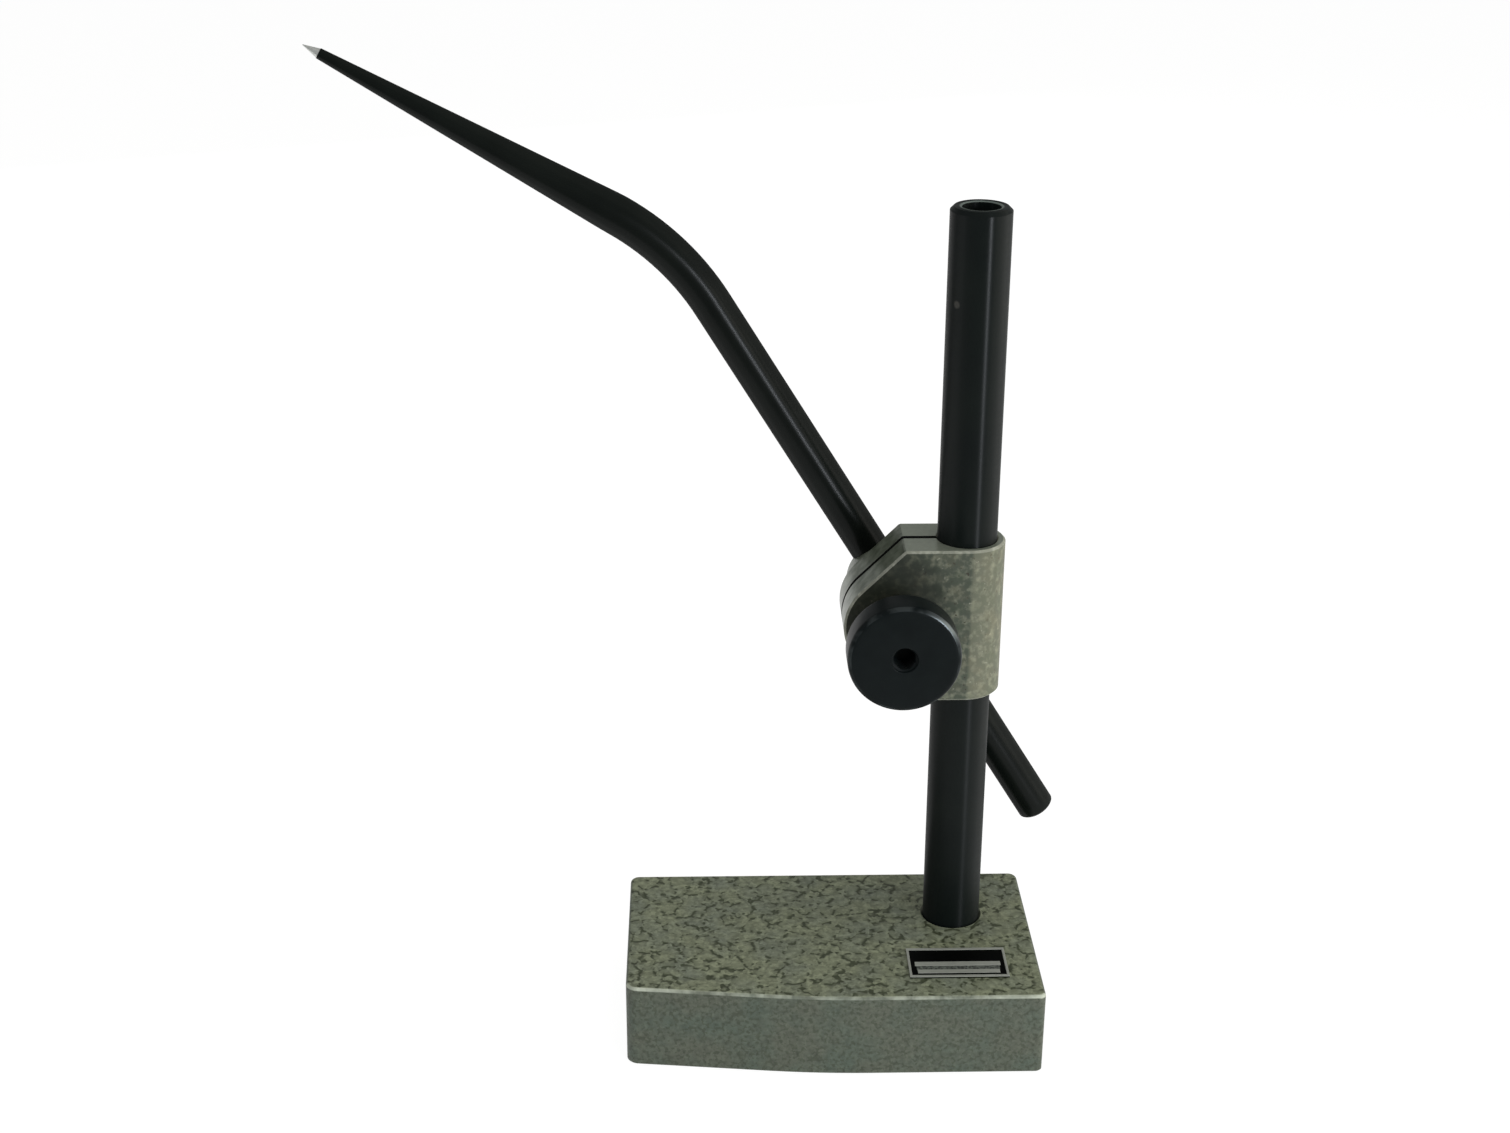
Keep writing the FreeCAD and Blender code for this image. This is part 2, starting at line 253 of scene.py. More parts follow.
# Aluminium sheet, brushed lengthwise before stamping: pale, with a soft broken shine. The brush
# marks are drawn a few times wider than real ones, so that they show.
stamped_aluminium, tree = new_finish("stamped_aluminium")
place = add(tree, "TexCoord").outputs["Object"]
stretched = add(tree, "Mapping", {"Vector": place, "Scale": (0.08, 1.0, 1.0)})
brushed = add(tree, "TexNoise", {"Vector": stretched, "Scale": 1 / brush_mark, "Detail": 2.0})
tone = add(tree, "Mix", {"Factor": brushed, "A": "#9a9e95", "B": "#cbcec4"}, data_type="RGBA")
gloss = add(tree, "MapRange", {"Value": brushed, "To Min": 0.4, "To Max": 0.55})
shader = add(tree, "BsdfPrincipled", {"Base Color": tone, "Metallic": 0.6, "Roughness": gloss})
add(tree, "OutputMaterial", {"Surface": shader})

# Enamel rubbed half away: dark patches, and grey metal between them.
rubbed_enamel, tree = new_finish("rubbed_plate_enamel")
place = add(tree, "TexCoord").outputs["Object"]
rubbing = add(tree, "TexNoise", {"Vector": place, "Scale": 1 / rub_patch, "Detail": 4.0})
bared = add(tree, "MapRange", {"Value": rubbing, "From Min": 0.35, "From Max": 0.65})
tone = add(tree, "Mix", {"Factor": bared, "A": "#2c302d", "B": "#747a72"}, data_type="RGBA")
shader = add(tree, "BsdfPrincipled", {"Base Color": tone, "Metallic": 0.3, "Roughness": 0.5})
add(tree, "OutputMaterial", {"Surface": shader})


def piece(name, body, points, faces, material, smooth=False):
    """A new mesh object that rides on a body."""
    mesh = bpy.data.meshes.new(name)
    mesh.from_pydata([tuple(p) for p in points], [], faces)
    mesh.validate()
    mesh.polygons.foreach_set("use_smooth", [smooth] * len(mesh.polygons))
    mesh.materials.append(material)
    made = bpy.data.objects.new(name, mesh)
    bpy.context.scene.collection.objects.link(made)
    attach(made, body)
    return made


def slab(low, high, bevel):
    """Points and faces of a low block whose top edges are bevelled."""
    points, faces = [], []
    for z, inset in ((low.z, 0), (high.z - bevel, 0), (high.z, bevel)):
        points += [
            Vector((low.x + inset, low.y + inset, z)),
            Vector((high.x - inset, low.y + inset, z)),
            Vector((high.x - inset, high.y - inset, z)),
            Vector((low.x + inset, high.y - inset, z)),
        ]
    faces.append((3, 2, 1, 0))
    for level in (0, 4):
        for i in range(4):
            j = (i + 1) % 4
            faces.append((level + i, level + j, level + 4 + j, level + 4 + i))
    faces.append((8, 9, 10, 11))
    return points, faces


def joined(parts):
    """Several (points, faces) lists as one."""
    points, faces = [], []
    for part_points, part_faces in parts:
        start = len(points)
        points += part_points
        faces += [tuple(start + i for i in face) for face in part_faces]
    return points, faces


def stamped(sizes):
    """Low bars across the plate, from (middle, width, inset, drop) in millimetres."""
    bars = []
    for middle, width, inset, drop in sizes:
        centre_y = inner_low.y + middle * MM
        low = Vector((inner_low.x + inset * MM, centre_y - width / 2 * MM, ground_top))
        high = Vector((inner_high.x - inset * MM, centre_y + width / 2 * MM, plate_high.z - drop * MM))
        bars.append(slab(low, high, bar_bevel))
    return joined(bars)


plate_low, plate_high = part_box("name_plate")
inner_low = plate_low + frame_width
inner_high = plate_high - frame_width
ground_top = plate_high.z - plate_relief
ground_corner = Vector((plate_high.x, plate_high.y, ground_top))
strip_places = (
    (plate_low.x, plate_low.y, plate_high.x, inner_low.y),
    (plate_low.x, inner_high.y, plate_high.x, plate_high.y),
    (plate_low.x, inner_low.y, inner_low.x, inner_high.y),
    (inner_high.x, inner_low.y, plate_high.x, inner_high.y),
)
strips = [
    slab(Vector((left, near, ground_top)), Vector((right, far, plate_high.z)), frame_bevel)
    for left, near, right, far in strip_places
]
bright_bars = ((2.1, 2.0, 2.0, 0.0), (6.5, 2.3, 1.4, 0.0))
rubbed_bar = ((4.25, 2.4, 1.8, 0.12),)

plate_ground = piece(
    "name_plate_ground", "base", *slab(plate_low, ground_corner, ground_bevel), black_enamel
)
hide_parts("name_plate")
plate_frame = piece("name_plate_frame", "base", *joined(strips), stamped_aluminium)
plate_bars = piece("name_plate_bars", "base", *stamped(bright_bars), stamped_aluminium)
plate_field = piece("name_plate_field", "base", *stamped(rubbed_bar), rubbed_enamel)

# Column: a thick-walled steel tube, ground smooth and blackened in a hot oxide bath, and bolted
# to the base from below. The edge of its bore is rubbed grey, and a small nick near the top of
# its left side shows grey metal.
grinding_ring = 0.5 * MM
oxide_blotch = 14 * MM
rim_begins = 6.9 * MM
rim_is_full = 6.3 * MM
nick_edge = 1.4 * MM
nick_core = 0.8 * MM
nick_left = 7.1 * MM
nick_forward = 6.3 * MM
nick_down = 28.7 * MM

# Black oxide over ground steel is nearly black, with a soft oily sheen. The rings that the
# grinding wheel left draw each light out into a line along the tube. Real rings are finer:
# these are wide enough to show. The sheen is duller at the tube's left and right sides.
black_oxide, tree = new_finish("black_oxide_steel")
place = add(tree, "TexCoord").outputs["Object"]
facing = add(tree, "SeparateXYZ", {0: add(tree, "TexCoord").outputs["Normal"]})
column_low, column_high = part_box("column")
column_axis = (column_low + column_high) / 2
blotches = add(tree, "TexNoise", {"Vector": place, "Scale": 1 / oxide_blotch, "Detail": 4.0})
skin = add(tree, "Mix", {"Factor": blotches, "A": "#0a0f10", "B": "#141a17"}, data_type="RGBA")
bore_mouth = Vector((column_axis.x, column_axis.y, column_high.z))
from_mouth = add(tree, "VectorMath", {0: place, 1: bore_mouth}, operation="DISTANCE")
near_bore = add(tree, "MapRange", {"Value": from_mouth, "From Min": rim_begins, "From Max": rim_is_full})
is_upward = add(tree, "MapRange", {"Value": facing.outputs["Z"], "From Min": 0.2, "From Max": 0.5})
rubbed_rim = add(tree, "Math", {0: near_bore, 1: is_upward}, operation="MULTIPLY")
skin = add(tree, "Mix", {"Factor": rubbed_rim, "A": skin, "B": "#6a736f"}, data_type="RGBA")
nick_place = Vector((column_axis.x - nick_left, column_axis.y - nick_forward, column_high.z - nick_down))
from_nick = add(tree, "VectorMath", {0: place, 1: nick_place}, operation="DISTANCE")
nick = add(
    tree, "MapRange", {"Value": from_nick, "From Min": nick_edge, "From Max": nick_core, "To Max": 0.8}
)
skin = add(tree, "Mix", {"Factor": nick, "A": skin, "B": "#4a4945"}, data_type="RGBA")
squashed = add(tree, "Mapping", {"Vector": place, "Scale": (0.12, 0.12, 1.0)})
rings = add(tree, "TexNoise", {"Vector": squashed, "Scale": 1 / grinding_ring, "Detail": 3.0})
sheen = add(
    tree, "MapRange", {"Value": rings, "From Min": 0.3, "From Max": 0.7, "To Min": 0.3, "To Max": 0.36}
)
fore_and_aft = add(tree, "Math", {0: facing.outputs["Y"]}, operation="ABSOLUTE")
dull_sides = add(
    tree,
    "MapRange",
    {"Value": fore_and_aft, "From Min": 0.5, "From Max": 0.85, "To Min": 0.2, "To Max": 0.0},
    interpolation_type="SMOOTHSTEP",
)
sheen = add(tree, "Math", {0: sheen, 1: dull_sides}, operation="ADD")
round_the_tube = add(tree, "Tangent", direction_type="RADIAL", axis="Z")
shader = add(
    tree,
    "BsdfPrincipled",
    {
        "Base Color": skin,
        "Roughness": sheen,
        "Specular IOR Level": 0.14,
        "Anisotropic": 0.85,
        "Anisotropic Rotation": 0.25,
        "Tangent": round_the_tube,
    },
)
add(tree, "OutputMaterial", {"Surface": shader})
dress("column", black_oxide)

# Plug, bolt and washer: turned steel in the column's foot and under the base, hidden when the
# gauge stands. The plug and washer are left plain and the bolt is blackened like the column.
# The bolt's head sits in a counterbore with its hexagon open below. The washer behind the knob
# is plain turned steel too.
tool_mark = 0.6 * MM

# Bare turned steel: mid grey and shiny, broken up by the marks of the tool.
turned_steel, tree = new_finish("turned_steel")
place = add(tree, "TexCoord").outputs["Object"]
tool_marks = add(tree, "TexNoise", {"Vector": place, "Scale": 1 / tool_mark, "Detail": 4.0})
tone = add(tree, "Mix", {"Factor": tool_marks, "A": "#7d7f7b", "B": "#9a9c97"}, data_type="RGBA")
gloss = add(tree, "MapRange", {"Value": tool_marks, "To Min": 0.3, "To Max": 0.5})
shader = add(tree, "BsdfPrincipled", {"Base Color": tone, "Metallic": 1.0, "Roughness": gloss})
add(tree, "OutputMaterial", {"Surface": shader})
for plain_piece in ("column_plug", "column_washer", "thrust_washer"):
    dress(plain_piece, turned_steel)
dress("column_bolt", black_oxide)

# Clamp: a split iron casting with its top, ends and slopes milled bare and the rest left as
# cast. The ring's right half is painted paler: rubbed skin, and painted light from the right.
# Dark oil has spread round the screw, with the knob's painted shadow in it; the milled slopes
# carry painted shade in patches, and the edges are rubbed bright, with a painted highlight.
mottle_size = 2.2 * MM
speck_size = 1.7 * MM
stain_size = 7 * MM
cast_depth = 0.15 * MM
mill_mark = 1.5 * MM
slope_shade_size = 3.5 * MM
slit_reach = 1.3 * MM
edge_blur = 1.0 * MM
rubbed_and_lit_begins = 0.2 * MM
rubbed_and_lit_is_full = 1.2 * MM
oil_and_shadow_left = 6 * MM
oil_and_shadow_up = 9 * MM
oil_and_shadow_begins = 33 * MM
oil_and_shadow_is_full = 20 * MM
oil_and_shadow_wander = 14 * MM
diagonal = 0.707

# Cast iron, as cast: a dark, dull and pitted skin with pale mottles, brown pits and stains.
# Where it is milled, it is smooth, grey and half bright like worn metal.
cast_iron, tree = new_finish("cast_iron_skin")
place = add(tree, "TexCoord").outputs["Object"]
where = add(tree, "SeparateXYZ", {0: place})
facing = add(tree, "SeparateXYZ", {0: add(tree, "TexCoord").outputs["Normal"]})
fore_and_aft = add(tree, "Math", {0: facing.outputs["Y"]}, operation="ABSOLUTE")
level = add(tree, "Math", {0: facing.outputs["Z"]}, operation="ABSOLUTE")
is_level = add(tree, "MapRange", {"Value": level, "From Min": 0.93, "From Max": 0.97})
left_of_ring = add(
    tree,
    "MapRange",
    {
        "Value": where.outputs["X"],
        "From Min": column_low.x + edge_blur,
        "From Max": column_low.x - edge_blur,
    },
)
is_edge_face = add(tree, "MapRange", {"Value": fore_and_aft, "From Min": 0.5, "From Max": 0.3})
milled_end = add(tree, "Math", {0: left_of_ring, 1: is_edge_face}, operation="MULTIPLY")
is_milled = add(tree, "Math", {0: milled_end, 1: is_level}, operation="MAXIMUM")

mottle = add(tree, "TexNoise", {"Vector": place, "Scale": 1 / mottle_size, "Detail": 5.0})
pale_mottles = add(tree, "MapRange", {"Value": mottle, "From Min": 0.47, "From Max": 0.7})
dark_mottles = add(tree, "MapRange", {"Value": mottle, "From Min": 0.47, "From Max": 0.3})
specks = add(tree, "TexNoise", {"Vector": place, "Scale": 1 / speck_size, "Detail": 2.0})
pale_specks = add(tree, "MapRange", {"Value": specks, "From Min": 0.68, "From Max": 0.78, "To Max": 0.8})
brown_pits = add(tree, "MapRange", {"Value": specks, "From Min": 0.33, "From Max": 0.27})
stains = add(tree, "TexNoise", {"Vector": place, "Scale": 1 / stain_size, "Detail": 3.0})
brown_stain = add(tree, "MapRange", {"Value": stains, "From Min": 0.5, "From Max": 0.68, "To Max": 0.3})
green_stain = add(tree, "MapRange", {"Value": stains, "From Min": 0.5, "From Max": 0.32, "To Max": 0.6})
skin_layers = (
    (pale_mottles, "#7c7f6c"),
    (dark_mottles, "#464d40"),
    (pale_specks, "#a9a997"),
    (brown_pits, "#39352a"),
    (brown_stain, "#6b664f"),
    (green_stain, "#444f3e"),
)
skin = "#4b5145"
for share, colour in skin_layers:
    skin = add(tree, "Mix", {"Factor": share, "A": skin, "B": colour}, data_type="RGBA")

# Rubbed skin and painted light: right of the column's axis the ring is painted paler and warmer, where
# the right lamp falls on it.
past_axis = add(
    tree,
    "MapRange",
    {
        "Value": where.outputs["X"],
        "From Min": column_axis.x + rubbed_and_lit_begins,
        "From Max": column_axis.x + rubbed_and_lit_is_full,
    },
)
rubbed_and_lit_skin = add(tree, "VectorMath", {0: skin, "Scale": 1.4}, operation="SCALE")
rubbed_and_lit_skin = add(tree, "Mix", {"Factor": 0.35, "A": rubbed_and_lit_skin, "B": "#7f7c66"}, data_type="RGBA")
skin = add(tree, "Mix", {"Factor": past_axis, "A": skin, "B": rubbed_and_lit_skin}, data_type="RGBA")

joints = {joint["name"]: joint for joint in frame["joints"]}
screw_place = Vector(joints["arm_swivel"]["pos_m"])
# Dark oil round the screw, and the knob's painted shadow above and left of it, as one soft patch.
oil_and_shadow_centre = Vector((screw_place.x - oil_and_shadow_left, 0, screw_place.z + oil_and_shadow_up))
flat = add(tree, "VectorMath", {0: place, 1: (1.0, 0.0, 1.0)}, operation="MULTIPLY")
from_oil_and_shadow = add(tree, "VectorMath", {0: flat, 1: oil_and_shadow_centre}, operation="DISTANCE")
uneven = add(tree, "TexNoise", {"Vector": place, "Scale": 1 / stain_size, "Detail": 4.0})
oil_and_shadow_edge = add(tree, "Math", {0: uneven, 1: oil_and_shadow_wander, 2: from_oil_and_shadow}, operation="MULTIPLY_ADD")
oil_and_knob_shadow = add(
    tree,
    "MapRange",
    {"Value": oil_and_shadow_edge, "From Min": oil_and_shadow_begins, "From Max": oil_and_shadow_is_full, "To Max": 0.84},
    interpolation_type="SMOOTHSTEP",
)
skin = add(tree, "Mix", {"Factor": oil_and_knob_shadow, "A": skin, "B": "#181c13"}, data_type="RGBA")

mill_marks = add(tree, "TexNoise", {"Vector": place, "Scale": 1 / mill_mark, "Detail": 3.0})
milled = add(tree, "Mix", {"Factor": mill_marks, "A": "#7c8276", "B": "#929a8b"}, data_type="RGBA")
# Painted shade: soft dark patches on the milled slopes and ends.
slope_shade_noise = add(tree, "TexNoise", {"Vector": place, "Scale": 1 / slope_shade_size, "Detail": 5.0})
slope_shade_share = add(
    tree, "MapRange", {"Value": slope_shade_noise, "From Min": 0.35, "From Max": 0.65, "To Min": 0.4, "To Max": 0.9}
)
is_slope = add(tree, "Math", {0: 1.0, 1: is_level}, operation="SUBTRACT")
slope_shade_share = add(tree, "Math", {0: slope_shade_share, 1: is_slope}, operation="MULTIPLY")
milled = add(tree, "Mix", {"Factor": slope_shade_share, "A": milled, "B": "#474f41"}, data_type="RGBA")
colour = add(tree, "Mix", {"Factor": is_milled, "A": skin, "B": milled}, data_type="RGBA")

# The bevelled edges, those of the ears facing forward and out and those of the ring up and out,
# are painted pale: rubbed bright metal, and a painted highlight.
ear_edge = add(tree, "Math", {0: fore_and_aft, 1: diagonal, 2: 0.15}, operation="COMPARE")
ear_edge = add(tree, "Math", {0: ear_edge, 1: left_of_ring}, operation="MULTIPLY")
ring_edge = add(tree, "Math", {0: level, 1: diagonal, 2: 0.15}, operation="COMPARE")
right_of_ears = add(tree, "Math", {0: 1.0, 1: left_of_ring}, operation="SUBTRACT")
ring_edge = add(tree, "Math", {0: ring_edge, 1: right_of_ears}, operation="MULTIPLY")
rubbed_and_highlit_edge = add(tree, "Math", {0: ear_edge, 1: ring_edge}, operation="MAXIMUM")
rubbing = add(tree, "MapRange", {"Value": pale_mottles, "To Min": 0.45, "To Max": 0.85})
rubbed_and_highlit_edge = add(tree, "Math", {0: rubbed_and_highlit_edge, 1: rubbing}, operation="MULTIPLY")
colour = add(tree, "Mix", {"Factor": rubbed_and_highlit_edge, "A": colour, "B": "#b0b2a4"}, data_type="RGBA")

# The walls of the slit between the ears are painted black: painted shade in the narrow slit.
in_slit = add(
    tree, "Math", {0: where.outputs["Y"], 1: column_axis.y, 2: slit_reach}, operation="COMPARE"
)
is_wall = add(tree, "MapRange", {"Value": fore_and_aft, "From Min": 0.85, "From Max": 0.95})
shaded_slit_wall = add(tree, "Math", {0: in_slit, 1: is_wall}, operation="MULTIPLY")
colour = add(tree, "Mix", {"Factor": shaded_slit_wall, "A": colour, "B": "#0b0c0a"}, data_type="RGBA")
relief = add(tree, "Bump", {"Strength": 0.35, "Distance": cast_depth, "Height": mottle})
gloss = add(tree, "MapRange", {"Value": is_milled, "To Min": 0.55, "To Max": 0.3})
bare = add(tree, "Math", {0: is_milled, 1: 0.4}, operation="MULTIPLY")
shader = add(
    tree,
    "BsdfPrincipled",
    {
        "Base Color": colour,
        "Metallic": bare,
        "Roughness": gloss,
        "Specular IOR Level": 0.35,
        "Normal": relief,
    },
)
add(tree, "OutputMaterial", {"Surface": shader})
dress("clamp_body", cast_iron)

# Arm seat: a turned iron cup between the clamp's rear ear and the arm, with notches in its rim
# that the arm lies in. It is grey like the clamp's milled edges.
dress("arm_seat", cast_iron)

# Eye bolt: a turned steel ring round the arm, with a screw that reaches forward through both
# ears to the knob. It is blackened like the column.
dress("eye_bolt", black_oxide)

# Arm: a round steel rod, bent once round a former and drawn down to a thin end, then
# blackened and oiled. The end of its tail is turned with a small rounded bevel, and its front
# end has a hole for the point.
arm_radius = 6.375 * MM
arm_end_radius = 1.7 * MM
arm_tail = 103.5 * MM
arm_to_corner = 132.9 * MM
arm_bend = radians(29.0)
arm_bend_radius = 85.0 * MM
arm_front = 122.4 * MM
tail_bevel = 1.1 * MM
tail_steps = 4
tail_roundness = 1.6
ring_spacing = 3.0 * MM
rod_segments = 96
point_hole_radius = 0.9 * MM
point_hole_depth = 9.0 * MM
sharp_angle = radians(40)
rod_blotch = 12 * MM

# Oiled black oxide: glossy along the rod's front and rear, where it mirrors the lamps in narrow
# lines, and dull on its sides.
oiled_black, tree = new_finish("oiled_black_steel")
place = add(tree, "TexCoord").outputs["Object"]
facing = add(tree, "SeparateXYZ", {0: add(tree, "TexCoord").outputs["Normal"]})
blotches = add(tree, "TexNoise", {"Vector": place, "Scale": 1 / rod_blotch, "Detail": 1.0})
skin = add(tree, "Mix", {"Factor": blotches, "A": "#0a0e0c", "B": "#141815"}, data_type="RGBA")
fore_and_aft = add(tree, "Math", {0: facing.outputs["Y"]}, operation="ABSOLUTE")
gloss = add(
    tree,
    "MapRange",
    {"Value": fore_and_aft, "From Min": 0.6, "From Max": 0.88, "To Min": 0.65, "To Max": 0.26},
    interpolation_type="SMOOTHSTEP",
)
shader = add(tree, "BsdfPrincipled", {"Base Color": skin, "Roughness": gloss, "Specular IOR Level": 0.11})
add(tree, "OutputMaterial", {"Surface": shader})

arm_direction = Vector(joints["arm_slide"]["axis"]).normalized()
arm_low, arm_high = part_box("arm")
arm_centre = Vector((screw_place.x, (arm_low.y + arm_high.y) / 2, screw_place.z))
rearward = Vector((0, 1, 0))
bend_reach = arm_bend_radius * tan(arm_bend / 2)
bend_length = arm_bend_radius * arm_bend
bend_start = arm_to_corner - bend_reach
taper_start = bend_start + bend_length
arm_length = taper_start + arm_front - bend_reach


def arm_place(run):
    """Centre and direction of the rod at a run along it; nought is the screw's axis."""
    bent = min(max(run - bend_start, 0), bend_length)
    turn = Matrix.Rotation(-bent / arm_bend_radius, 3, rearward)
    direction = turn @ arm_direction
    if run <= bend_start:
        return arm_centre + arm_direction * run, direction
    bend_place = arm_centre + arm_direction * bend_start
    hub = bend_place + arm_direction.cross(rearward) * arm_bend_radius
    centre = hub + turn @ (bend_place - hub)
    return centre + direction * max(run - taper_start, 0), direction


def hoops(rings, segments):
    """Points and faces of a skin over rings of (centre, direction, radius), closed at both ends."""
    points, faces = [], []
    for centre, direction, radius in rings:
        across = rearward.cross(direction).normalized()
        for i in range(segments):
            angle = 2 * pi * i / segments
            points.append(centre + (across * cos(angle) + rearward * sin(angle)) * radius)
    for level in range(len(rings) - 1):
        for i in range(segments):
            j = (i + 1) % segments
            row = level * segments
            faces.append((row + i, row + j, row + segments + j, row + segments + i))
    faces.append(tuple(reversed(range(segments))))
    last = (len(rings) - 1) * segments
    faces.append(tuple(last + i for i in range(segments)))
    return points, faces


rings = []
for step in range(tail_steps + 1):
    share = step / tail_steps
    centre, direction = arm_place(-arm_tail + tail_bevel * share)
    rings.append((centre, direction, arm_radius - tail_bevel * (1 - share) ** tail_roundness))
plain_length = arm_length + arm_tail - tail_bevel
count = round(plain_length / ring_spacing)
for step in range(1, count + 1):
    run = -arm_tail + tail_bevel + plain_length * step / count
    share = max(run - taper_start, 0) / (arm_length - taper_start)
    centre, direction = arm_place(run)
    rings.append((centre, direction, arm_radius + (arm_end_radius - arm_radius) * share))
for depth in (0, point_hole_depth):
    centre, direction = arm_place(arm_length - depth)
    rings.append((centre, direction, point_hole_radius))
arm = piece("arm_rod", "arm", *hoops(rings, rod_segments), oiled_black, smooth=True)
arm.data.set_sharp_from_angle(angle=sharp_angle)
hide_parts("arm")

# Point: a short cone of hardened steel, pressed into the thin end of the arm and ground
# bright. It is the gauge's pointer.
point_grit = 0.3 * MM

# Ground tool steel: pale and silky. The grit's marks are drawn coarse enough to show.
ground_steel, tree = new_finish("ground_tool_steel")
place = add(tree, "TexCoord").outputs["Object"]
grit = add(tree, "TexNoise", {"Vector": place, "Scale": 1 / point_grit, "Detail": 3.0})
tone = add(tree, "Mix", {"Factor": grit, "A": "#c2c5c0", "B": "#dfe1dd"}, data_type="RGBA")
shader = add(tree, "BsdfPrincipled", {"Base Color": tone, "Metallic": 0.7, "Roughness": 0.35})
add(tree, "OutputMaterial", {"Surface": shader})
dress("arm_point", ground_steel)

# Knob: a steel hub and disc turned in one piece and blackened, with a tapped hole right
# through for the eye bolt's screw. Its rim is rubbed grey in places, and a grey patch on its
# bevel at the upper right is a painted highlight.
hub_radius = 8.5 * MM
hub_length = 12.4 * MM
hub_rear_ease = 0.8 * MM
hub_fillet = 0.6 * MM
rear_rim_ease = 0.9 * MM
front_rim_ease = 2.0 * MM
mouth_ease = 0.3 * MM
mouth_flare = 0.1 * MM
mouth_depth = 0.7 * MM
knob_hole_radius = 4.05 * MM
knob_segments = 192
thread_crest = 3.4 * MM
thread_pitch = 1.25 * MM
thread_length = 8.0 * MM
thread_steps = 52
thread_end = 0.05 * MM
wall_margin = 0.01 * MM
tool_pitch = 0.35 * MM
tool_depth = 0.02 * MM
knob_blotch = 6 * MM
rub_begins = 14.8 * MM
rub_is_full = 16.2 * MM
highlight_offset = Vector((13.2, 0, 11.9)) * MM
highlight_edge = 9 * MM
highlight_core = 3 * MM

# Blackened turned steel: nearly black and softly shiny, with faint rings from the lathe tool on
# its face. Where the rim is rubbed, the grey steel comes through; the grey patch at its upper
# right is a painted highlight.
black_knob, tree = new_finish("blackened_turned_steel")
place = add(tree, "TexCoord").outputs["Object"]
knob_low, knob_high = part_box("knob")
knob_centre = (knob_low + knob_high) / 2
from_centre = add(tree, "VectorMath", {0: place, 1: knob_centre * -1}, operation="ADD")
flat = add(tree, "VectorMath", {0: from_centre, 1: (1.0, 0.0, 1.0)}, operation="MULTIPLY")
from_axis = add(tree, "VectorMath", {0: flat}, operation="LENGTH").outputs["Value"]
tool_rings = add(tree, "Math", {0: from_axis, 1: 2 * pi / tool_pitch}, operation="MULTIPLY")
ring_wave = add(tree, "Math", {0: tool_rings}, operation="SINE")
blotches = add(tree, "TexNoise", {"Vector": place, "Scale": 1 / knob_blotch, "Detail": 4.0})
skin = add(tree, "Mix", {"Factor": blotches, "A": "#0a0f10", "B": "#141a1a"}, data_type="RGBA")
forward = add(tree, "SeparateXYZ", {0: add(tree, "TexCoord").outputs["Normal"]}).outputs["Y"]
on_bevel = add(tree, "Math", {0: forward, 1: -0.6, 2: 0.35}, operation="COMPARE")
near_rim = add(tree, "MapRange", {"Value": from_axis, "From Min": rub_begins, "From Max": rub_is_full})
rim_rub_and_highlight = add(tree, "Math", {0: on_bevel, 1: near_rim}, operation="MULTIPLY")
rub_and_highlight_share = add(
    tree, "MapRange", {"Value": blotches, "From Min": 0.42, "From Max": 0.62, "To Max": 0.25}
)
# Painted highlight: a grey patch on the bevel at the upper right, where the right lamp catches the rim.
highlight_place = knob_centre + highlight_offset
highlight_place.y = knob_low.y
from_highlight = add(tree, "VectorMath", {0: place, 1: highlight_place}, operation="DISTANCE")
bevel_highlight = add(tree, "MapRange", {"Value": from_highlight, "From Min": highlight_edge, "From Max": highlight_core})
rub_and_highlight_share = add(tree, "Math", {0: rub_and_highlight_share, 1: bevel_highlight}, operation="MAXIMUM")
rim_rub_and_highlight = add(tree, "Math", {0: rim_rub_and_highlight, 1: rub_and_highlight_share}, operation="MULTIPLY")
skin = add(tree, "Mix", {"Factor": rim_rub_and_highlight, "A": skin, "B": "#5f6566"}, data_type="RGBA")
relief = add(tree, "Bump", {"Strength": 0.15, "Distance": tool_depth, "Height": ring_wave})
gloss = add(tree, "MapRange", {"Value": blotches, "To Min": 0.3, "To Max": 0.45})
shader = add(
    tree,
    "BsdfPrincipled",
    {
        "Base Color": skin,
        "Metallic": rim_rub_and_highlight,
        "Roughness": gloss,
        "Specular IOR Level": 0.09,
        "Normal": relief,
    },
)
add(tree, "OutputMaterial", {"Surface": shader})


def eased(corners, steps=5):
    """Corners of (along, radius, ease) as a profile whose corners are rounded off by their ease."""
    profile = []
    for i, (along, radius, ease) in enumerate(corners):
        if ease == 0:
            profile.append((along, radius))
            continue
        corner = Vector((along, radius))
        last = (Vector(corners[i - 1][:2]) - corner).normalized() * ease
        following = (Vector(corners[(i + 1) % len(corners)][:2]) - corner).normalized() * ease
        for step in range(steps + 1):
            t = step / steps
            point = corner + last * (1 - t) ** 2 + following * t ** 2
            profile.append((point.x, point.y))
    return profile


def turned(profile, start, axis, segments):
    """Points and faces of a ring-shaped solid turned from a closed profile of (along, radius)."""
    across = axis.orthogonal().normalized()
    up = axis.cross(across)
    points, faces = [], []
    for along, radius in profile:
        for i in range(segments):
            angle = 2 * pi * i / segments
            points.append(start + axis * along + (across * cos(angle) + up * sin(angle)) * radius)
    for level in range(len(profile)):
        row = level * segments
        following = (level + 1) % len(profile) * segments
        for i in range(segments):
            j = (i + 1) % segments
            faces.append((row + i, row + j, following + j, following + i))
    return points, faces


